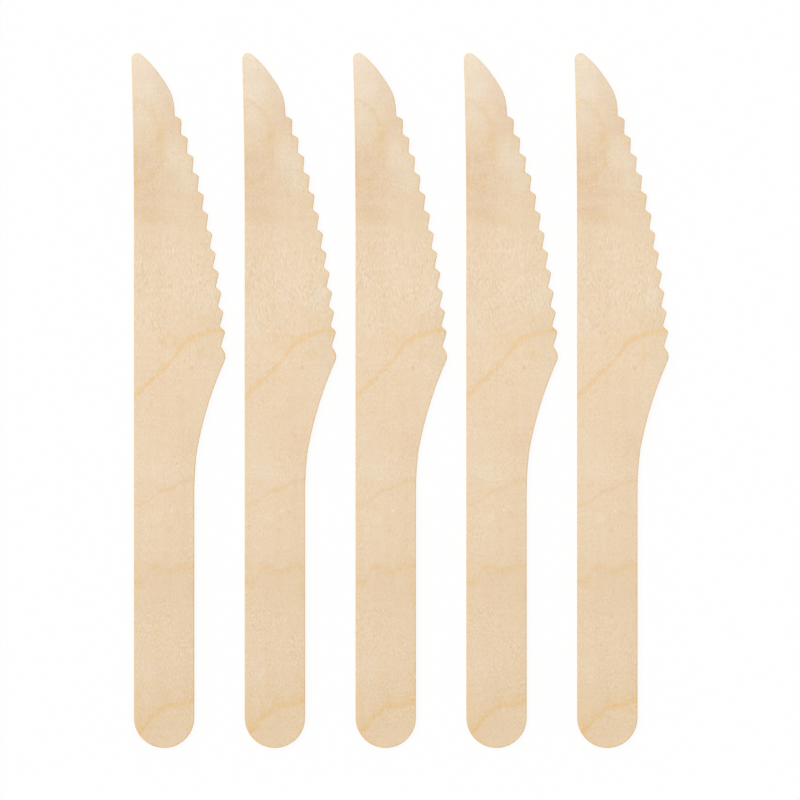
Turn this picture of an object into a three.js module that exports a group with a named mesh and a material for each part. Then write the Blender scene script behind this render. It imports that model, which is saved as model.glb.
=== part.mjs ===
// A pack of disposable birch knives, lying side by side on their flat faces.
// Each knife is one piece, die-cut from thin birch veneer and tumbled so that
// its edges are softened. Millimetres, +Z up. A knife's length runs along Y
// with its point towards +Y, and its toothed edge faces +X. The knives make a
// row along X. The origin is at the bottom centre of the whole pack.
import * as THREE from "three";

// The pack. The gap is between the boxes that two neighbours fill.
const KNIVES = 5;
const GAP_BETWEEN_KNIVES = 3.96;

// One knife's blank, and how far its edges are rounded over
const KNIFE_LENGTH = 165;
const VENEER_THICKNESS = 1.6;
const EDGE_ROUNDING = 0.3;

// The handle, whose butt is a half circle of its width
const HANDLE_WIDTH = 14.35;

// The point, cut away from the toothed side to a small round nose. A long arc,
// the shoulder, leaves the nose at NOSE_ANGLE off the knife's length and ends
// at SHOULDER_ANGLE, where the curve down to the teeth starts. Each fullness is
// how long that curve holds its direction there, as a share of its length.
const POINT_LENGTH = 14.9;
const NOSE_RADIUS = 1.38;
const NOSE_ANGLE = THREE.MathUtils.degToRad(50.8);
const SHOULDER_RADIUS = 23.7;
const SHOULDER_ANGLE = THREE.MathUtils.degToRad(35.5);
const FULLNESS_AT_SHOULDER = 0.42;
const FULLNESS_AT_TEETH = 0.45;

// The spine, straight except near the point, where it leans outwards
const SPINE_LEAN = 0.6;
const SPINE_LEAN_LENGTH = 40;

// The teeth, whose corners sit on one long arc. A tooth's front drops to the
// gullet on its side nearer the point, and its back rises gently.
const TEETH = 12;
const TOOTH_PITCH = 4.69;
const TOOTH_DEPTH = 1.28;
const TOOTH_FRONT = 1.34;
const TOOTH_RADIUS = 0.8;
const GULLET_RADIUS = 0.65;
const FIRST_GULLET_RADIUS = 0.15;
const TOOTH_LINE_RADIUS = 195;
const TOOTH_LINE_TILT = THREE.MathUtils.degToRad(2.4);

// The heel, where the tooth line starts and the blade is widest. The width is
// up to the heel's corner before that is rounded.
const BLADE_WIDTH = 22.06;
const HEEL_TO_TOOTH = 5.8;
const HEEL_FRONT = 2.35;
const HEEL_RADIUS = 2.5;

// The flare from the handle out to the heel: a neck that bends outwards, then
// a longer hollow curve that meets it at a slight corner.
const FLARE_LENGTH = 32.6;
const FLARE_HOLLOW = 0.73;
const NECK_LENGTH = 10.3;
const NECK_RISE = 0.66;

// How far a chord may cut inside the arc that it stands for
const CHORD_ERROR = 0.012;
const EDGE_STEPS = 2;
const POINT_STEPS = 14;
const SPINE_STEPS = 5;

// The most of a side that the round on one of its corners may use
const CORNER_SHARE = 0.48;

const BIRCH = { color: 0xe9d2b3, roughness: 0.62, metalness: 0 };

const vec = (x, y) => new THREE.Vector2(x, y);

// Points along an arc, both ends included, with chords within CHORD_ERROR.
function arcPoints(centre, radius, fromAngle, sweep) {
  const widestStep = 2 * Math.acos(1 - Math.min(CHORD_ERROR / radius, 1));
  const steps = Math.max(1, Math.ceil(Math.abs(sweep) / widestStep));
  const toAngle = fromAngle + sweep;
  const arc = new THREE.ArcCurve(centre.x, centre.y, radius, fromAngle, toAngle, sweep < 0);
  return arc.getPoints(steps);
}

// Points along the shallow arc between two points. Its middle stands sagitta to
// the left of the straight line between them.
function shallowArc(from, to, sagitta) {
  const chord = to.clone().sub(from);
  const radius = (chord.lengthSq() / 4 + sagitta ** 2) / (2 * sagitta);
  const right = vec(chord.y, -chord.x).normalize();
  const middle = from.clone().add(to).multiplyScalar(0.5);
  const centre = middle.addScaledVector(right, radius - sagitta);
  const halfSweep = Math.asin(Math.min(chord.length() / (2 * radius), 1));
  return arcPoints(centre, radius, from.clone().sub(centre).angle(), -2 * halfSweep);
}

// The round that replaces one corner of a path: an arc that touches both sides,
// made smaller where a side is too short for it.
function roundedCorner(before, corner, after, radius) {
  const toBefore = before.clone().sub(corner);
  const toAfter = after.clone().sub(corner);
  const shorterSide = Math.min(toBefore.length(), toAfter.length());
  toBefore.normalize();
  toAfter.normalize();
  const halfAngle = Math.acos(THREE.MathUtils.clamp(toBefore.dot(toAfter), -1, 1)) / 2;
  const reach = Math.min(radius / Math.tan(halfAngle), CORNER_SHARE * shorterSide);
  const fittedRadius = reach * Math.tan(halfAngle);
  const inwards = toBefore.clone().add(toAfter).normalize();
  const centre = corner.clone().addScaledVector(inwards, fittedRadius / Math.sin(halfAngle));
  const start = corner.clone().addScaledVector(toBefore, reach).sub(centre);
  const end = corner.clone().addScaledVector(toAfter, reach).sub(centre);
  const sweep = Math.atan2(start.cross(end), start.dot(end));
  return arcPoints(centre, fittedRadius, start.angle(), sweep);
}

// A place on the tooth line, measured from the heel's corner towards the point.
// The line starts TOOTH_LINE_TILT off the knife's length and bends on from there.
function onToothLine(distance) {
  const angle = TOOTH_LINE_TILT + distance / TOOTH_LINE_RADIUS;
  const across = Math.cos(angle) - Math.cos(TOOTH_LINE_TILT);
  const along = Math.sin(angle) - Math.sin(TOOTH_LINE_TILT);
  return {
    place: vec(across, along).multiplyScalar(TOOTH_LINE_RADIUS),
    outwards: vec(Math.cos(angle), Math.sin(angle)),
  };
}

// The bottom of the gullet in front of the tooth that stands at this distance.
function gulletBefore(distance, front) {
  const { place, outwards } = onToothLine(distance + front);
  return place.addScaledVector(outwards, -TOOTH_DEPTH);
}

// The corners of the toothed edge with their radii, from the heel to the first
// gullet behind the point, measured from the heel's own corner.
function toothedCorners() {
  const corners = [
    { at: vec(0, 0), radius: HEEL_RADIUS },
    { at: gulletBefore(0, HEEL_FRONT), radius: GULLET_RADIUS },
  ];
  for (let i = 0; i < TEETH; i++) {
    const distance = HEEL_TO_TOOTH + i * TOOTH_PITCH;
    corners.push({ at: onToothLine(distance).place, radius: TOOTH_RADIUS });
    corners.push({ at: gulletBefore(distance, TOOTH_FRONT), radius: GULLET_RADIUS });
  }
  corners.at(-1).radius = FIRST_GULLET_RADIUS;
  return corners;
}

// The half circle at the handle's end, from the spine round to the other side.
function buttPoints() {
  const radius = HANDLE_WIDTH / 2;
  return arcPoints(vec(radius, radius), radius, Math.PI, Math.PI);
}

// The flare from the straight handle out to the heel's corner.
function flarePoints(heel) {
  const neckRadius = (NECK_RISE ** 2 + NECK_LENGTH ** 2) / (2 * NECK_RISE);
  const neckCentre = vec(HANDLE_WIDTH + neckRadius, heel.y - FLARE_LENGTH);
  const neckSweep = Math.asin(Math.min(NECK_LENGTH / neckRadius, 1));
  const neck = arcPoints(neckCentre, neckRadius, Math.PI, -neckSweep);
  return [...neck, ...shallowArc(neck.at(-1), heel, FLARE_HOLLOW).slice(1)];
}

// The point: a full curve up from the first gullet, the shoulder, then the
// round nose.
function pointPoints(firstGullet) {
  const noseCentre = vec(NOSE_RADIUS - SPINE_LEAN, KNIFE_LENGTH - NOSE_RADIUS);
  const nose = arcPoints(noseCentre, NOSE_RADIUS, NOSE_ANGLE, Math.PI - NOSE_ANGLE);
  const outOfNose = vec(Math.cos(NOSE_ANGLE), Math.sin(NOSE_ANGLE));
  const shoulderCentre = nose[0].clone().addScaledVector(outOfNose, -SHOULDER_RADIUS);
  const shoulderSweep = NOSE_ANGLE - SHOULDER_ANGLE;
  const shoulder = arcPoints(shoulderCentre, SHOULDER_RADIUS, SHOULDER_ANGLE, shoulderSweep);

  const downTheCurve = vec(Math.sin(SHOULDER_ANGLE), -Math.cos(SHOULDER_ANGLE));
  const length = shoulder[0].distanceTo(firstGullet);
  const curve = new THREE.CubicBezierCurve(
    firstGullet,
    firstGullet.clone().add(vec(0, FULLNESS_AT_TEETH * length)),
    shoulder[0].clone().addScaledVector(downTheCurve, FULLNESS_AT_SHOULDER * length),
    shoulder[0],
  );
  return [...curve.getPoints(POINT_STEPS), ...shoulder.slice(1), ...nose.slice(1)];
}

// The leaning part of the spine, from just below the nose down to its end.
function spinePoints() {
  const straightEnd = KNIFE_LENGTH - SPINE_LEAN_LENGTH;
  const noseEnd = KNIFE_LENGTH - NOSE_RADIUS;
  const points = [];
  for (let i = SPINE_STEPS - 1; i >= 0; i--) {
    const share = i / SPINE_STEPS;
    points.push(vec(-SPINE_LEAN * share ** 2, straightEnd + (noseEnd - straightEnd) * share));
  }
  return points;
}

// The whole outline, anticlockwise from the spine's end of the butt. X is 0 on
// the straight spine and Y is 0 at the butt.
function knifeOutline() {
  const corners = toothedCorners();
  const firstGulletY = KNIFE_LENGTH - POINT_LENGTH;
  const heel = vec(BLADE_WIDTH, firstGulletY - corners.at(-1).at.y);
  corners.forEach((corner) => corner.at.add(heel));

  const flare = flarePoints(heel);
  const point = pointPoints(corners.at(-1).at);
  const path = [flare.at(-2), ...corners.map((corner) => corner.at), point[1]];
  const toothedEdge = corners.flatMap((corner, i) =>
    roundedCorner(path[i], corner.at, path[i + 2], corner.radius),
  );
  return [
    ...buttPoints(),
    ...flare.slice(0, -1),
    ...toothedEdge,
    ...point.slice(1),
    ...spinePoints(),
  ];
}

// One knife, cut through the veneer, with every edge rounded over. The lowest
// corner of its box is at the origin.
function knifeGeometry() {
  const geometry = new THREE.ExtrudeGeometry(new THREE.Shape(knifeOutline()), {
    depth: VENEER_THICKNESS - 2 * EDGE_ROUNDING,
    bevelEnabled: true,
    bevelThickness: EDGE_ROUNDING,
    bevelSize: EDGE_ROUNDING,
    bevelOffset: -EDGE_ROUNDING,
    bevelSegments: EDGE_STEPS,
  });
  geometry.computeBoundingBox();
  const { min } = geometry.boundingBox;
  return geometry.translate(-min.x, -min.y, -min.z);
}

// The knives in their row, all alike, named from left to right.
function knifePack() {
  const geometry = knifeGeometry();
  geometry.computeBoundingBox();
  const knifeSize = geometry.boundingBox.getSize(new THREE.Vector3());
  const spacing = knifeSize.x + GAP_BETWEEN_KNIVES;
  const rowWidth = knifeSize.x + spacing * (KNIVES - 1);
  const pack = new THREE.Group();
  for (let i = 0; i < KNIVES; i++) {
    const knife = new THREE.Mesh(geometry, new THREE.MeshStandardMaterial(BIRCH));
    knife.name = `knife_${i + 1}`;
    knife.position.set(spacing * i - rowWidth / 2, -knifeSize.y / 2, 0);
    pack.add(knife);
  }
  return pack;
}

export default knifePack();
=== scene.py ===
import math

import bpy
import numpy as np
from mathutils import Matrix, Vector
from mathutils.geometry import delaunay_2d_cdt


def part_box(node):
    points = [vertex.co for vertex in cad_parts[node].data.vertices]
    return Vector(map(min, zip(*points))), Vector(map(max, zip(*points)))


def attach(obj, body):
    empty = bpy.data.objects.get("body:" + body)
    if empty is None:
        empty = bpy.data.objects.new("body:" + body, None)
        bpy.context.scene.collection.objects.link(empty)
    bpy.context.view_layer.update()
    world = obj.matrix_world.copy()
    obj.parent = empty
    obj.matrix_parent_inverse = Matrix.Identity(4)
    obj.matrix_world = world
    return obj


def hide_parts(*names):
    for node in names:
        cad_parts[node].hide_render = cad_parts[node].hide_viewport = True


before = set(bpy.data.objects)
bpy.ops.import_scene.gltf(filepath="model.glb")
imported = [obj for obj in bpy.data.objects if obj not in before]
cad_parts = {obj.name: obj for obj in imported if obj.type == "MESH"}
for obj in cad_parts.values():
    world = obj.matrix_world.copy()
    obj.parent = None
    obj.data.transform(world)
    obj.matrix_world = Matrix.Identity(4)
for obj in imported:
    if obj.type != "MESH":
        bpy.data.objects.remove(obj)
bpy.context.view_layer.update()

# The looks of a row of disposable birch knives, seen from straight above.
# Lengths and places on a knife are in millimetres unless they are multiplied
# by MM: x from its straight spine towards its teeth, y from its butt towards
# its point, and z up from its underside.
MM = 0.001

# The view: a long lens straight above the row, whose picture is FIELD wide
FIELD = 190.04 * MM
VIEW_CENTRE = (-0.005 * MM, 0.12 * MM)
CAMERA_HEIGHT = 2500 * MM
SENSOR = 36.0

# The light: an even pale sky, and a wide soft lamp up to the left of the points
WHITE = (1.0, 1.0, 1.0, 1.0)
SKY = 0.62
LAMP_FROM = (-0.32, 0.24, 0.90)
LAMP_STRENGTH = 1.24
LAMP_WIDTH = math.radians(60)

# The floor, just under the knives. The camera sees most of it as plain white,
# and the rest takes the light and the knives' shadow.
FLOOR_SIZE = 6000 * MM
FLOOR_DROP = 0.02 * MM
FLOOR_WHITE = 0.98
FLOOR_SHADE = 0.12

# The surface mesh of a knife: steps round its edge, and even triangles on its
# faces, in rows that are ROW_HEIGHT of a triangle's side apart
EDGE_SPACING = 0.3
FACE_SPACING = 0.9
ROW_HEIGHT = math.sqrt(0.75)
FACE_MARGIN = 0.35
ROUND_STEPS = 6
WALL_ROWS = 4
PLACE_DIGITS = 4
SAME_PLACE = 1e-5
FACES_INSIDE_ONLY = 1

# How the edges are rounded, how far they waver along the knife, and how far
# the warm rim along them reaches over the faces: partly browned wood, and partly
# a painted glow of light scattered through the thin edge
ROUNDING = 0.30
ROUNDING_CHANGE = 0.05
OUTLINE_WAVER = 0.012
WAVER_WAVES = 12
WAVER_REPEATS = (40, 260)
SUPPORT_INSET = 0.15
RIM_WIDTH = 0.95

# How the peeled faces rise and fall, far longer with the grain than across it
SWELL_HEIGHT = 0.012
SWELL_WAVES = 9
SWELL_ACROSS = (4, 14)
SWELL_ALONG = (25, 90)
SWELL_FADE = 2.0


# How a screen turns its values into light: straight at first, then as a power
SCREEN_WHITE = 255
STRAIGHT_END = 0.04045
STRAIGHT_PART = 12.92
POWER_SHIFT = 0.055
POWER = 2.4


def linear(value):
    """A screen's value, from 0 to 255, as light from 0 to 1."""
    share = value / SCREEN_WHITE
    if share <= STRAIGHT_END:
        return share / STRAIGHT_PART
    return ((share + POWER_SHIFT) / (1 + POWER_SHIFT)) ** POWER


def srgb(red, green, blue):
    """A colour as a screen shows it, as linear light."""
    return (linear(red), linear(green), linear(blue), 1.0)


# The wood runs from pale sapwood, tone 0, to the warmest wood, tone 1
PALE_WOOD = srgb(243, 226, 203)
WARM_WOOD = srgb(230, 203, 167)

# The wood's tone along the knife, as (y, tone)
KNIFE_REACH = 165
TONE_ALONG = (
    (0, 0.85),
    (11, 0.92),
    (24, 0.77),
    (38, 0.84),
    (50, 0.70),
    (66, 0.60),
    (78, 0.66),
    (92, 0.62),
    (112, 0.55),
    (122, 0.60),
    (137, 0.76),
    (147, 0.68),
    (155, 0.40),
    (165, 0.05),
)

# The soft spots of the wood's figure by kind, and the painted shade down the
# teeth side, each as (x, y, half width, half length, strength), and by how much
# each kind multiplies the wood's colour
SPOTS = {
    "rosy": ((6, 85, 36, 62, 1.0),),
    "bright": (
        (1.6, 148.4, 4.2, 7.5, 1.0),
        (1.5, 155.5, 4.0, 5.0, 0.7),
        (2.0, 165.0, 3.5, 2.6, 1.0),
        (11.0, 140.5, 4.5, 6.0, 1.0),
    ),
    "white": (
        (8.6, 56.4, 0.6, 0.65, 1.0),
        (9.6, 56.9, 0.4, 0.5, 0.8),
        (8.9, 57.4, 0.3, 0.4, 0.7),
    ),
    "pale": (
        (1.6, 150.2, 3.4, 3.8, 1.0),
        (10.8, 139.5, 5.5, 7.0, 1.0),
        (13.2, 134.2, 4.6, 5.0, 1.0),
        (1.0, 161.0, 3.0, 4.0, 0.5),
        (1.5, 155.5, 5.0, 5.0, 0.7),
        (1.4, 144.0, 3.0, 5.0, 0.5),
        (1.2, 113.0, 3.0, 5.0, 0.3),
        (18.2, 106.2, 4.6, 6.0, 0.8),
        (13.0, 110.5, 3.6, 3.0, 0.4),
        (1.5, 99.0, 4.0, 9.0, 0.5),
        (2.0, 77.0, 5.0, 5.0, 0.3),
        (5.4, 65.8, 9.0, 4.4, 1.0),
        (2.0, 47.0, 5.0, 5.0, 0.4),
        (3.0, 72.0, 7.0, 9.0, 0.5),
        (12.8, 65.8, 3.0, 1.6, 0.4),
        (5.4, 54.4, 2.2, 1.4, 0.8),
        (3.8, 41.6, 2.0, 1.6, 0.6),
        (3.0, 18.8, 5.0, 4.5, 0.6),
        (8.5, 17.5, 7.0, 4.0, 0.3),
    ),
    "amber": (
        (6.3, 146.4, 2.2, 3.8, 0.6),
        (5.5, 144.2, 1.9, 1.8, 0.5),
        (9.5, 96.8, 8.0, 4.0, 0.45),
        (1.6, 5.6, 2.4, 5.0, 0.5),
    ),
    "rust": (
        (1.0, 134.6, 5.5, 2.6, 0.9),
        (4.5, 136.0, 2.2, 2.0, 0.6),
        (3.6, 132.8, 2.6, 1.2, 0.4),
        (0.2, 136.0, 1.4, 12.0, 0.6),
        (1.0, 127.6, 3.5, 1.6, 0.4),
    ),
    "plum": (
        (2.4, 139.4, 5.0, 4.2, 0.7),
        (1.8, 130.8, 6.5, 2.2, 0.6),
        (8.0, 131.9, 6.0, 2.6, 0.5),
        (3.4, 128.2, 6.5, 2.0, 0.3),
        (4.0, 129.5, 10.0, 7.5, 0.2),
        (8.0, 136.0, 3.0, 4.0, 0.4),
        (6.5, 155.5, 3.5, 5.0, 0.4),
        (5.0, 149.0, 2.5, 3.0, 0.25),
        (5.0, 160.8, 2.6, 4.0, 0.8),
        (9.2, 148.0, 3.4, 5.0, 0.8),
        (8.7, 153.0, 3.0, 5.0, 0.6),
        (1.2, 111.0, 2.6, 6.0, 0.4),
        (13.2, 72.5, 3.6, 6.5, 0.5),
    ),
    "grey_and_painted_shade": (
        # The first three spots of this kind are long bands down the teeth side. They are
        # painted shade, darker as if that side of the face were turned from the lamp. The rest
        # are greyish patches of the wood itself.
        (15.0, 58.0, 7.0, 34.0, 0.45),
        (21.0, 96.0, 9.0, 26.0, 0.45),
        (14.5, 18.0, 6.0, 26.0, 0.30),
        (7.2, 159.5, 3.2, 6.5, 0.8),
        (8.6, 151.8, 2.4, 3.4, 0.4),
        (9.5, 37.0, 9.0, 5.0, 0.3),
        (7.0, 13.0, 9.0, 7.0, 0.25),
        (7.6, 4.5, 9.0, 7.0, 0.4),
        (20.0, 91.0, 3.0, 4.0, 0.4),
        (5.6, 41.4, 2.2, 0.7, 0.9),
    ),
    "brown": (
        (4.0, 126.0, 8.5, 3.0, 0.8),
        (12.0, 125.0, 8.0, 4.0, 0.3),
        (2.1, 142.5, 1.1, 8.0, 0.5),
        (4.3, 141.0, 0.9, 7.0, 0.5),
        (5.4, 141.5, 0.6, 5.5, 0.5),
        (6.8, 141.0, 0.5, 6.0, 0.4),
        (5.5, 155.5, 2.6, 5.0, 0.35),
        (14.0, 101.5, 9.0, 2.6, 0.4),
        (19.5, 100.0, 6.0, 13.0, 0.4),
        (15.8, 93.6, 3.4, 1.7, 0.9),
        (18.4, 92.8, 1.8, 1.4, 0.6),
        (13.6, 90.1, 1.0, 1.0, 1.0),
        (6.0, 92.0, 1.8, 1.2, 0.6),
        (9.0, 88.5, 12.0, 5.0, 0.25),
        (12.0, 95.5, 7.0, 5.0, 0.3),
        (14.0, 112.0, 8.0, 9.0, 0.3),
        (10.5, 71.0, 5.0, 5.0, 0.3),
        (7.0, 55.5, 4.5, 8.0, 0.3),
        (12.0, 47.0, 4.0, 6.0, 0.25),
        (12.5, 62.0, 5.5, 16.0, 0.4),
        (10.3, 55.8, 1.3, 0.8, 0.9),
        (8.2, 51.8, 0.9, 1.0, 0.8),
        (8.1, 31.4, 1.4, 1.2, 0.6),
        (3.4, 32.4, 1.6, 0.7, 0.6),
        (7.0, 23.0, 5.5, 9.0, 0.25),
    ),
    "speck": (
        (13.5, 90.1, 0.8, 0.8, 0.9),
        (15.9, 92.4, 1.2, 0.8, 0.35),
        (10.0, 55.7, 0.8, 0.6, 0.45),
        (8.2, 51.7, 0.7, 0.7, 0.45),
        (8.1, 31.2, 0.8, 0.7, 0.45),
    ),
}
KIND_TINTS = {
    "rosy": (1.016, 1.0, 0.982, 1.0),
    "bright": (1.022, 1.034, 1.062, 1.0),
    "white": (1.060, 1.130, 1.260, 1.0),
    "pale": (1.010, 1.045, 1.100, 1.0),
    "amber": (0.995, 0.935, 0.810, 1.0),
    "rust": (0.970, 0.900, 0.825, 1.0),
    "plum": (0.965, 0.925, 0.930, 1.0),
    # greyish wood, and the painted shade down the teeth side
    "grey_and_painted_shade": (0.950, 0.960, 0.965, 1.0),
    "brown": (0.970, 0.940, 0.860, 1.0),
    "speck": (0.945, 0.900, 0.810, 1.0),
}
SPOT_WARP_GRAIN = (0.35, 0.22, 0.35)
SPOT_WARP = 2.4

# The growth lines that cross the knife, from the butt to the point: the course
# as (x, y), and each line's bands as (reach below, reach above, tint). The
# lines waver a little, and their colour comes and goes in beads.
LINE_REACH = 24
GROWTH_LINES = (
    {
        "course": (
            (0, 1.6),
            (1.5, 3.8),
            (2.8, 5.0),
            (3.8, 6.7),
            (6.0, 8.5),
            (7.6, 9.9),
            (10.3, 10.1),
            (12.3, 10.7),
            (14.4, 11.2),
        ),
        "bands": (
            (1.1, 1.4, (1.005, 0.945, 0.800, 1.0)),
            (1.0, 5.0, (0.995, 0.972, 0.925, 1.0)),
        ),
    },
    {
        "course": (
            (0, 39.3),
            (2.0, 39.5),
            (3.7, 42.0),
            (5.5, 42.9),
            (7.0, 42.3),
            (9.0, 42.0),
            (11.3, 43.1),
            (14.4, 43.2),
        ),
        "bands": (
            (1.0, 1.2, (1.005, 0.960, 0.860, 1.0)),
            (3.2, 2.2, (0.985, 0.975, 0.955, 1.0)),
        ),
    },
    {
        "course": (
            (0, 57.6),
            (2.6, 58.3),
            (4.8, 59.7),
            (6.6, 61.1),
            (9.2, 61.8),
            (11.8, 63.3),
            (14.4, 63.5),
        ),
        "bands": ((0.9, 0.9, (0.985, 0.940, 0.865, 1.0)),),
    },
    {
        "course": (
            (0, 83.3),
            (2.0, 85.3),
            (4.3, 87.6),
            (6.4, 89.6),
            (8.2, 91.3),
            (10.0, 93.5),
            (12.2, 96.3),
            (14.5, 97.7),
            (17.2, 98.7),
            (20.5, 99.0),
            (22, 99.0),
        ),
        "bands": ((1.35, 1.35, (1.005, 0.915, 0.760, 1.0)),),
    },
)
LINE_WAVER_GRAIN = (0.4, 0.4, 0.4)
LINE_WAVER = 0.3
BEAD_GRAIN = (0.5, 0.5, 0.5)
BEADS = (0.25, 0.60, 0.75, 1.08)

# The growth line that curls round near the point, as (y from its start, x).
# It fades at both ends and comes and goes in patches.
CURL_START = 134.0
CURL_REACH = 22
CURL = (
    (0, 1.0),
    (1.5, 3.8),
    (2.7, 5.4),
    (4.5, 6.4),
    (8.0, 6.2),
    (11.0, 6.3),
    (13.0, 6.3),
    (15.0, 5.4),
    (17.5, 4.0),
    (19.4, 1.5),
    (22, -3.0),
)
CURL_BANDS = (
    (1.2, 1.0, (0.988, 0.960, 0.915, 1.0)),
    (2.6, 1.8, (0.992, 0.978, 0.945, 1.0)),
)
CURL_FADE = 0.12
CURL_PATCHES = (0.35, 0.65, 0.2, 1.3)

# The noise that the grain is made of: its detail, and its middle value
NOISE_DETAIL = 2.0
NOISE_MIDDLE = 0.5

# The grain: how often it changes in a millimetre across, along and through
SWAY_GRAIN = (0.05, 0.06, 0.05)
SWAY = 0.6
CLOUD_GRAIN = (0.12, 0.07, 0.12)
CLOUD_TONE = 0.45
STREAK_GRAIN = (0.50, 0.03, 0.50)
STREAK_TONE = 0.30
MOTTLE_GRAIN = (0.55, 0.32, 0.55)
MOTTLE_DETAIL = 3.0
MOTTLE_WARM = (1.00, 0.960, 0.900, 1.0)
MOTTLE_COOL = (1.00, 1.040, 1.100, 1.0)
RIPPLE_GRAIN = (0.12, 1.30, 0.12)
RIPPLE_DARK = (0.975, 0.965, 0.950, 1.0)
RIPPLE_LIGHT = (1.025, 1.035, 1.050, 1.0)
FLECK_GRAIN = (2.2, 1.5, 2.2)
FLECK_WARM = (1.016, 0.968, 0.830, 1.0)
FLECK_COOL = (0.984, 1.032, 1.170, 1.0)
FIBRE_GRAIN = (3.0, 1.70, 3.0)
STRAND_GRAIN = (4.2, 1.00, 4.2)
FIBRE_DARK = (0.88, 0.84, 0.75, 1.0)
FIBRE_LIGHT = (1.12, 1.16, 1.25, 1.0)
VESSEL_GRAIN = (7.0, 0.6, 7.0)
VESSEL_LEVEL = (0.60, 0.74)
VESSEL_TINT = (0.90, 0.86, 0.76, 1.0)

# How strong the fibres look along the knife, as (y, strength), which changes
# in soft patches too, and how much of them are long strands, as (y, share)
FIBRES_ALONG = (
    (0, 1.4),
    (30, 1.6),
    (48, 1.25),
    (82, 1.4),
    (96, 1.7),
    (112, 1.9),
    (126, 1.4),
    (165, 1.1),
)
FIBRE_PATCH_GRAIN = (0.22, 0.16, 0.22)
FIBRE_PATCHES = (0.30, 0.70, 0.60, 1.40)
STRANDS_ALONG = (
    (0, 0.2),
    (60, 0.2),
    (88, 0.3),
    (102, 0.9),
    (118, 0.9),
    (130, 0.2),
    (165, 0.1),
)

# What the cut edges add: a warmer rim, partly browned wood and partly a painted
# glow of light scattered through the edge, and darker ends of the fibres
RIM_BROWNING_AND_GLOW_TINT = (1.03, 0.985, 0.885, 1.0)
END_LEVEL = (0.97, 0.60)
END_TINT = (0.93, 0.90, 0.83, 1.0)

ROUGHNESS = (0.52, 0.72)
SPECULAR = 0.30
BUMP_HEIGHT = 0.03 * MM
BUMP_STRENGTH = 0.35


class Graph:
    """Builds a node tree from short calls that take sockets or plain values."""

    def __init__(self, tree):
        self.tree = tree
        tree.nodes.clear()

    def node(self, kind, inputs=None, **settings):
        node = self.tree.nodes.new(kind)
        for name, value in settings.items():
            setattr(node, name, value)
        for name, value in (inputs or {}).items():
            self.feed(node.inputs[name], value)
        return node

    def feed(self, socket, value):
        if isinstance(value, bpy.types.NodeSocket):
            self.tree.links.new(value, socket)
        else:
            socket.default_value = value

    def maths(self, operation, *values):
        node = self.node("ShaderNodeMath", dict(enumerate(values)), operation=operation)
        return node.outputs[0]

    def vector(self, operation, *values):
        node = self.node("ShaderNodeVectorMath", dict(enumerate(values)), operation=operation)
        return node.outputs["Value" if operation == "LENGTH" else "Vector"]

    def split(self, vector):
        node = self.node("ShaderNodeSeparateXYZ", {"Vector": vector})
        return node.outputs["X"], node.outputs["Y"], node.outputs["Z"]

    def ease(self, value, start, end, result_start=0.0, result_end=1.0):
        """A soft step between two results, as value goes from start to end."""
        inputs = {
            "Value": value,
            "From Min": start,
            "From Max": end,
            "To Min": result_start,
            "To Max": result_end,
        }
        node = self.node("ShaderNodeMapRange", inputs, interpolation_type="SMOOTHSTEP")
        return node.outputs["Result"]

    def noise(self, place, grain, detail=NOISE_DETAIL, output="Fac", **settings):
        """Smooth noise from 0 to 1 that changes grain times in a millimetre."""
        inputs = {
            "Vector": self.vector("MULTIPLY", place, grain),
            "W": 0.0,
            "Scale": 1.0,
            "Detail": detail,
        }
        node = self.node("ShaderNodeTexNoise", inputs, noise_dimensions="4D", **settings)
        return node.outputs[output]

    def centred(self, value, height):
        """value, which goes from 0 to 1, as a change of height round zero."""
        return self.maths("MULTIPLY_ADD", value, float(height), -height / 2)

    def warped(self, place, grain, reach):
        """place, moved about by smooth noise within a box that is reach wide."""
        colour = self.noise(place, grain, output="Color")
        width = (reach, reach, 0.0)
        start = (-reach / 2, -reach / 2, 0.0)
        return self.vector("ADD", place, self.vector("MULTIPLY_ADD", colour, width, start))

    def curve(self, value, points, reach):
        """The smooth curve through points, for values from 0 to reach."""
        results = [result for _, result in points]
        low, high = min(results), max(results)
        spots = [(at / reach, (result - low) / (high - low)) for at, result in points]
        share = self.maths("DIVIDE", value, float(reach))
        node = self.node("ShaderNodeFloatCurve", {"Value": share})
        course = node.mapping.curves[0]
        course.points[0].location = spots[0]
        course.points[-1].location = spots[-1]
        for spot in spots[1:-1]:
            course.points.new(*spot)
        node.mapping.update()
        return self.maths("MULTIPLY_ADD", node.outputs[0], float(high - low), float(low))

    def mix(self, factor, first, second, blend="MIX"):
        inputs = {"Factor": factor, "A": first, "B": second}
        node = self.node("ShaderNodeMix", data_type="RGBA", blend_type=blend)
        for socket in node.inputs:
            if socket.enabled and socket.name in inputs:
                self.feed(socket, inputs[socket.name])
        return next(socket for socket in node.outputs if socket.enabled)

    def tinted(self, colour, tint, share=1.0):
        """colour, multiplied by tint where share is 1."""
        return self.mix(share, colour, tint, "MULTIPLY")


def band(g, distance, below, above):
    """1 where distance is zero, easing to 0 at below under it and above over it."""
    rise = g.ease(distance, -float(below), 0.0)
    fall = g.ease(distance, 0.0, float(above), 1.0, 0.0)
    return g.maths("MULTIPLY", rise, fall)


def spot_share(g, place, spots):
    """How much of a tint these soft oval spots give."""
    total = 0.0
    for x, y, half_width, half_length, strength in spots:
        scale = (1 / half_width, 1 / half_length, 0.0)
        centre = (-x / half_width, -y / half_length, 0.0)
        offset = g.vector("MULTIPLY_ADD", place, scale, centre)
        spot = g.ease(g.vector("LENGTH", offset), 0.0, 1.0, float(strength), 0.0)
        total = g.maths("ADD", total, spot)
    return total


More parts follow.
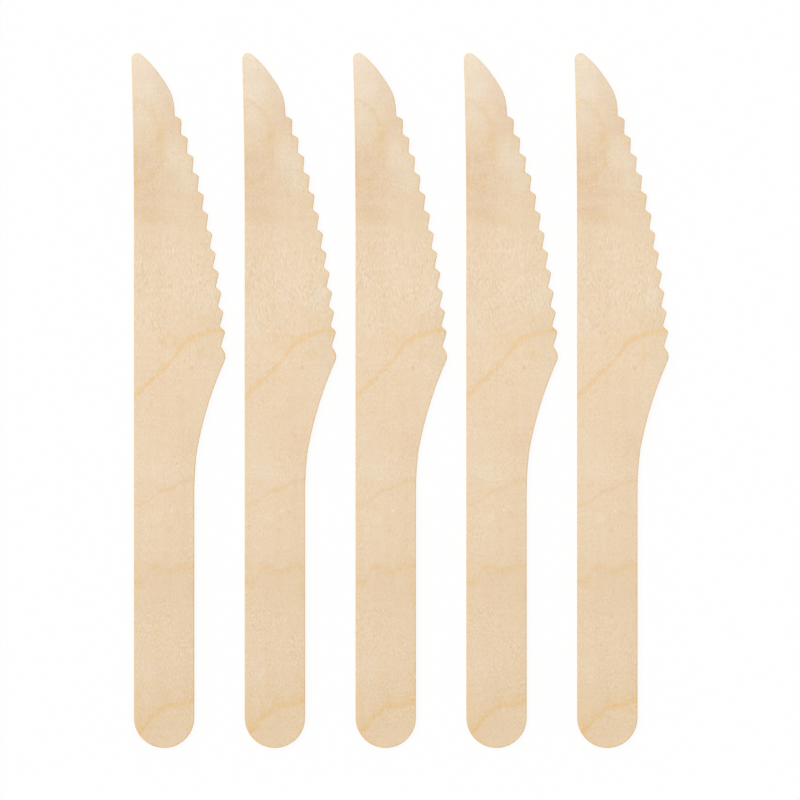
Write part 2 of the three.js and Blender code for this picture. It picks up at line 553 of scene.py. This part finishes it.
def plain_wood(g, place, grain_place, y):
    """The wood's colour, as it changes along the knife and in clouds and streaks."""
    clouds = g.centred(g.noise(place, CLOUD_GRAIN), CLOUD_TONE)
    streaks = g.centred(g.noise(grain_place, STREAK_GRAIN), STREAK_TONE)
    tone = g.maths("ADD", g.curve(y, TONE_ALONG, KNIFE_REACH), g.maths("ADD", clouds, streaks))
    colour = g.mix(tone, PALE_WOOD, WARM_WOOD)
    mottle = g.noise(place, MOTTLE_GRAIN, MOTTLE_DETAIL)
    colour = g.tinted(colour, g.mix(mottle, MOTTLE_WARM, MOTTLE_COOL))
    return g.tinted(colour, g.mix(g.noise(place, RIPPLE_GRAIN), RIPPLE_DARK, RIPPLE_LIGHT))


def with_spots(g, colour, place):
    warped = g.warped(place, SPOT_WARP_GRAIN, SPOT_WARP)
    for kind, spots in SPOTS.items():
        colour = g.tinted(colour, KIND_TINTS[kind], spot_share(g, warped, spots))
    return colour


def with_growth_lines(g, colour, place, x, y):
    """colour, tinted along the growth lines and the curl near the point."""
    waver = g.centred(g.noise(place, LINE_WAVER_GRAIN), LINE_WAVER)
    beads = g.ease(g.noise(place, BEAD_GRAIN), *BEADS)
    for line in GROWTH_LINES:
        course = g.maths("ADD", g.curve(x, line["course"], LINE_REACH), waver)
        distance = g.maths("SUBTRACT", y, course)
        for below, above, tint in line["bands"]:
            share = g.maths("MULTIPLY", band(g, distance, below, above), beads)
            colour = g.tinted(colour, tint, share)

    along = g.maths("SUBTRACT", y, float(CURL_START))
    distance = g.maths("SUBTRACT", x, g.maths("ADD", g.curve(along, CURL, CURL_REACH), waver))
    half = CURL_REACH / 2
    within = g.ease(band(g, g.maths("SUBTRACT", along, half), half, half), 0.0, CURL_FADE)
    patches = g.ease(g.noise(place, BEAD_GRAIN), *CURL_PATCHES)
    within = g.maths("MULTIPLY", within, patches)
    for inside, outside, tint in CURL_BANDS:
        share = g.maths("MULTIPLY", band(g, distance, inside, outside), within)
        colour = g.tinted(colour, tint, share)
    return colour


def with_flecks(g, colour, grain_place):
    flecks = g.noise(grain_place, FLECK_GRAIN, name="flecks")
    return g.tinted(colour, g.mix(flecks, FLECK_WARM, FLECK_COOL))


def fibres(g, place, grain_place, y):
    """The fibres, light above the middle value of noise and dark below it."""
    short = g.noise(grain_place, FIBRE_GRAIN, name="fibres")
    strands = g.noise(grain_place, STRAND_GRAIN, name="strands")
    longer = g.maths("SUBTRACT", strands, short)
    fibre = g.maths("MULTIPLY_ADD", longer, g.curve(y, STRANDS_ALONG, KNIFE_REACH), short)
    patches = g.ease(g.noise(place, FIBRE_PATCH_GRAIN), *FIBRE_PATCHES)
    strength = g.maths("MULTIPLY", g.curve(y, FIBRES_ALONG, KNIFE_REACH), patches)
    return g.maths("MULTIPLY_ADD", g.centred(fibre, 1.0), strength, NOISE_MIDDLE)


def with_edges(g, colour, normal):
    """colour, with the warm rim along the edges (partly browned wood, partly a painted glow of
    light scattered through the edge) and the darker ends of the fibres.
    """
    rim = g.node("ShaderNodeAttribute", attribute_name="rim").outputs["Fac"]
    # The rim tint is partly browned wood and partly painted glow of light through the edge
    colour = g.tinted(colour, RIM_BROWNING_AND_GLOW_TINT, g.ease(rim, 0.0, 1.0))
    _, across_end, upwards = g.split(normal)
    edge = g.ease(g.maths("ABSOLUTE", upwards), *END_LEVEL)
    end = g.maths("MULTIPLY", edge, g.maths("ABSOLUTE", across_end))
    return g.tinted(colour, END_TINT, end)


def birch():
    """Bare birch veneer."""
    material = bpy.data.materials.new("birch")
    material.use_nodes = True
    g = Graph(material.node_tree)
    coordinates = g.node("ShaderNodeTexCoord")
    place = g.vector("MULTIPLY", coordinates.outputs["Object"], (1 / MM, 1 / MM, 1 / MM))
    x, y, _ = g.split(place)
    sway = g.centred(g.noise(place, SWAY_GRAIN), SWAY)
    sideways = g.node("ShaderNodeCombineXYZ", {"X": sway}).outputs[0]
    grain_place = g.vector("ADD", place, sideways)

    colour = plain_wood(g, place, grain_place, y)
    # the figure's spots, and the painted shade down the teeth side
    colour = with_spots(g, colour, place)
    colour = with_growth_lines(g, colour, place, x, y)

    colour = with_flecks(g, colour, grain_place)
    fibre = fibres(g, place, grain_place, y)
    colour = g.tinted(colour, g.mix(fibre, FIBRE_DARK, FIBRE_LIGHT))
    vessels = g.ease(g.noise(grain_place, VESSEL_GRAIN, name="vessels"), *VESSEL_LEVEL)
    colour = g.tinted(colour, VESSEL_TINT, vessels)
    colour = with_edges(g, colour, coordinates.outputs["Normal"])

    height = g.maths("SUBTRACT", fibre, vessels)
    bump = g.node(
        "ShaderNodeBump",
        {"Height": height, "Distance": BUMP_HEIGHT, "Strength": BUMP_STRENGTH},
    )
    smooth, rough = ROUGHNESS
    shader = g.node(
        "ShaderNodeBsdfPrincipled",
        {
            "Base Color": colour,
            "Roughness": g.maths("MULTIPLY_ADD", fibre, rough - smooth, smooth),
            "Specular IOR Level": SPECULAR,
            "Normal": bump.outputs["Normal"],
        },
    )
    g.node("ShaderNodeOutputMaterial", {"Surface": shader.outputs[0]})
    return material


def with_own_fibres(wood, seed):
    """A copy of the wood with other fibres and the same figure."""
    copy = wood.copy()
    copy.name = f"{wood.name}_{seed}"
    for name in ("flecks", "fibres", "strands", "vessels"):
        copy.node_tree.nodes[name].inputs["W"].default_value = float(seed)
    return copy


def cad_outline(node):
    """The outline that a knife's blank was cut to, anticlockwise, in millimetres
    in the row's own frame. It is where the straight wall of its edge stands."""
    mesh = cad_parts[node].data
    points = np.array([vertex.co for vertex in mesh.vertices]) / MM
    points = points.round(PLACE_DIGITS)
    heights = np.unique(points[:, 2])
    wall_foot = heights[np.diff(heights).argmax()]
    neighbours = {}
    for edge in mesh.edges:
        ends = [tuple(points[end]) for end in edge.vertices]
        if all(end[2] == wall_foot for end in ends) and ends[0] != ends[1]:
            neighbours.setdefault(ends[0], set()).add(ends[1])
            neighbours.setdefault(ends[1], set()).add(ends[0])
    loop = [min(neighbours), min(neighbours[min(neighbours)])]
    while len(loop) < len(neighbours):
        loop.append(next(spot for spot in neighbours[loop[-1]] if spot != loop[-2]))
    outline = np.array(loop)[:, :2]
    following = np.roll(outline, -1, axis=0)
    doubled_area = np.sum(outline[:, 0] * following[:, 1] - outline[:, 1] * following[:, 0])
    return outline if doubled_area > 0 else outline[::-1]


def with_even_steps(outline, spacing):
    """The closed outline with its longer sides cut into steps of about spacing."""
    points = []
    for start, end in zip(outline, np.roll(outline, -1, axis=0)):
        steps = max(1, math.ceil(np.linalg.norm(end - start) / spacing))
        points.extend(start + (end - start) * i / steps for i in range(steps))
    return np.array(points)


def outward_normals(outline):
    along = np.roll(outline, -1, axis=0) - np.roll(outline, 1, axis=0)
    along /= np.linalg.norm(along, axis=1)[:, None]
    return np.stack([along[:, 1], -along[:, 0]], axis=1)


def waver(count, random):
    """A smooth change round a closed loop of count points, from -1 to 1."""
    share = np.arange(count) / count
    repeats = random.integers(*WAVER_REPEATS, size=WAVER_WAVES)
    phases = random.random(WAVER_WAVES)
    total = sum(np.cos(math.tau * (n * share + phase)) for n, phase in zip(repeats, phases))
    return total / np.abs(total).max()


def swell(places, random):
    """How far a peeled face rises and falls at these places."""
    height = np.zeros(len(places))
    for _ in range(SWELL_WAVES):
        across = places[:, 0] / random.uniform(*SWELL_ACROSS)
        along = places[:, 1] / random.uniform(*SWELL_ALONG)
        height += np.sin(math.tau * (across + along + random.random()))
    return SWELL_HEIGHT * height / math.sqrt(SWELL_WAVES)


def face_grid(border):
    """Places on a face inside its border, with how far each lies from it."""
    low, high = border.min(axis=0), border.max(axis=0)
    rows = np.arange(low[1], high[1], FACE_SPACING * ROW_HEIGHT)
    places = []
    for i, y in enumerate(rows):
        shift = FACE_SPACING / 2 * (i % 2)
        places.extend((x, y) for x in np.arange(low[0] + shift, high[0], FACE_SPACING))
    places = np.array(places)

    following = np.roll(border, -1, axis=0)
    crossings = np.zeros(len(places), int)
    for (x0, y0), (x1, y1) in zip(border, following):
        if y0 != y1:
            between = (places[:, 1] > min(y0, y1)) & (places[:, 1] <= max(y0, y1))
            crossing_x = x0 + (places[:, 1] - y0) * (x1 - x0) / (y1 - y0)
            crossings += between & (crossing_x > places[:, 0])
    places = places[crossings % 2 == 1]
    distances = np.array([np.hypot(*(border - place).T).min() for place in places])
    far_enough = distances > FACE_MARGIN
    return places[far_enough], distances[far_enough]


def edge_rings(rounding, thickness):
    """The rings of the edge, from the lower face round to the upper one: how far
    inside the outline each point of a ring lies, and how high."""
    level = np.zeros_like(rounding)
    angles = [math.pi / 2 * i / ROUND_STEPS for i in range(ROUND_STEPS + 1)]
    lower = [(rounding * (1 - math.sin(a)), rounding * (1 - math.cos(a))) for a in angles]
    upper = [(inset, thickness - height) for inset, height in reversed(lower)]
    shares = [i / WALL_ROWS for i in range(1, WALL_ROWS)]
    wall = [(level, rounding + (thickness - 2 * rounding) * share) for share in shares]
    support = rounding + SUPPORT_INSET
    return [(support, level), *lower, *wall, *upper, (support, thickness + level)]


def face_triangles(border, grid):
    """The triangles of a face, by places in its border and then its grid."""
    flat = [Vector(place) for place in (*border, *grid)]
    whole = [list(range(len(border)))]
    result = delaunay_2d_cdt(flat, [], whole, FACES_INSIDE_ONLY, SAME_PLACE)
    faces, origins = result[2], result[3]
    return [[origins[spot][0] for spot in face] for face in faces]


def knife_mesh(node, seed):
    """A knife's surface, as (mesh, where its spine meets the line of its butt)."""
    random = np.random.default_rng(seed)
    low, high = (np.array(corner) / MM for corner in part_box(node))
    outline = cad_outline(node)
    butt_half = outline[:, 1] < (low[1] + high[1]) / 2
    corner = np.array([outline[butt_half, 0].min(), low[1]])
    thickness = high[2] - low[2]

    outline = with_even_steps(outline - corner, EDGE_SPACING)
    count = len(outline)
    inwards = -outward_normals(outline)
    rounding = ROUNDING + ROUNDING_CHANGE * waver(count, random)
    outline += inwards * (OUTLINE_WAVER * (1 + waver(count, random)))[:, None]
    rings = edge_rings(rounding, thickness)

    border_inset = ROUNDING + SUPPORT_INSET
    border = outline + inwards * border_inset
    grid, distance = face_grid(border)
    fade = np.clip(distance / SWELL_FADE, 0, 1)
    levels = [
        np.column_stack([outline + inwards * inset[:, None], height])
        for inset, height in rings
    ]
    lower_grid = np.column_stack([grid, np.abs(swell(grid, random)) * fade])
    upper_grid = np.column_stack([grid, thickness + swell(grid, random) * fade])
    vertices = np.concatenate([*levels, lower_grid, upper_grid]) * MM

    quads = []
    for ring in range(len(rings) - 1):
        start = ring * count
        for i in range(count):
            j = (i + 1) % count
            quads.append((start + i, start + j, start + count + j, start + count + i))

    # A face's first count places are its border, which is a ring of the edge:
    # the first ring for the lower face and the last ring for the upper one
    triangles = face_triangles(border, grid)
    last_ring = count * (len(rings) - 1)
    in_lower = [0] * count + [last_ring] * len(grid)
    in_upper = [last_ring] * count + [last_ring + len(grid)] * len(grid)
    lower_cap = [[at + in_lower[at] for at in face[::-1]] for face in triangles]
    upper_cap = [[at + in_upper[at] for at in face] for face in triangles]

    mesh = bpy.data.meshes.new(f"birch_{node}")
    mesh.from_pydata(vertices.tolist(), [], quads + lower_cap + upper_cap)
    mesh.shade_smooth()
    grid_inset = distance + border_inset
    insets = np.concatenate([*(inset for inset, _ in rings), grid_inset, grid_inset])
    # How much of the rim's browning and painted glow each point takes
    rim = mesh.attributes.new("rim", "FLOAT", "POINT")
    rim.data.foreach_set("value", np.clip(1 - insets / RIM_WIDTH, 0, 1))
    return mesh, Vector((*(corner * MM), low[2] * MM))


def add_knife(node, seed, wood):
    mesh, corner = knife_mesh(node, seed)
    mesh.materials.append(with_own_fibres(wood, seed))
    knife = bpy.data.objects.new(f"birch_{node}", mesh)
    knife.location = corner
    bpy.context.scene.collection.objects.link(knife)
    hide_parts(node)
    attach(knife, "root")


def seen(g):
    """1 where the floor or sky is looked at, straight or in gloss or through
    glass, and 0 where it gives soft light."""
    rays = g.node("ShaderNodeLightPath").outputs
    indirect = g.maths("MAXIMUM", rays["Is Glossy Ray"], rays["Is Transmission Ray"])
    return g.maths("MAXIMUM", rays["Is Camera Ray"], indirect)


def floor_white():
    """A floor that shows the camera mostly white, and its shadows faintly."""
    material = bpy.data.materials.new("floor_white")
    material.use_nodes = True
    g = Graph(material.node_tree)
    pale = (FLOOR_WHITE, FLOOR_WHITE, FLOOR_WHITE, 1.0)
    lit = g.node("ShaderNodeBsdfDiffuse", {"Color": pale})
    white = g.node("ShaderNodeEmission", {"Color": WHITE, "Strength": 1.0})
    share = g.maths("MULTIPLY", seen(g), 1 - FLOOR_SHADE)
    inputs = {0: share, 1: lit.outputs[0], 2: white.outputs[0]}
    mixed = g.node("ShaderNodeMixShader", inputs)
    g.node("ShaderNodeOutputMaterial", {"Surface": mixed.outputs[0]})
    return material


def add_floor():
    half = FLOOR_SIZE / 2
    around = ((-half, -half), (half, -half), (half, half), (-half, half))
    corners = [(x, y, -FLOOR_DROP) for x, y in around]
    mesh = bpy.data.meshes.new("floor")
    mesh.from_pydata(corners, [], [(0, 1, 2, 3)])
    mesh.materials.append(floor_white())
    floor = bpy.data.objects.new("floor", mesh)
    bpy.context.scene.collection.objects.link(floor)


def add_sky():
    """A sky that lights the knives at the level SKY, and looks white."""
    scene = bpy.context.scene
    scene.world = bpy.data.worlds.new("pale_sky")
    scene.world.use_nodes = True
    g = Graph(scene.world.node_tree)
    strength = g.ease(seen(g), 0.0, 1.0, SKY, 1.0)
    sky = g.node("ShaderNodeBackground", {"Color": WHITE, "Strength": strength})
    g.node("ShaderNodeOutputWorld", {"Surface": sky.outputs[0]})


def add_lamp():
    lamp = bpy.data.lights.new("soft_lamp", "SUN")
    lamp.energy = LAMP_STRENGTH
    lamp.angle = LAMP_WIDTH
    holder = bpy.data.objects.new("soft_lamp", lamp)
    holder.rotation_euler = Vector(LAMP_FROM).to_track_quat("Z", "Y").to_euler()
    bpy.context.scene.collection.objects.link(holder)


def add_camera():
    scene = bpy.context.scene
    camera = bpy.data.cameras.new("camera")
    camera.sensor_width = SENSOR
    camera.lens = SENSOR * CAMERA_HEIGHT / FIELD
    holder = bpy.data.objects.new("camera", camera)
    holder.location = (*VIEW_CENTRE, CAMERA_HEIGHT)
    scene.collection.objects.link(holder)
    scene.camera = holder


add_camera()
add_sky()
add_lamp()
add_floor()
veneer = birch()
for number, name in enumerate(sorted(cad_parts), 1):
    add_knife(name, number, veneer)
bpy.context.scene.view_settings.view_transform = "Standard"
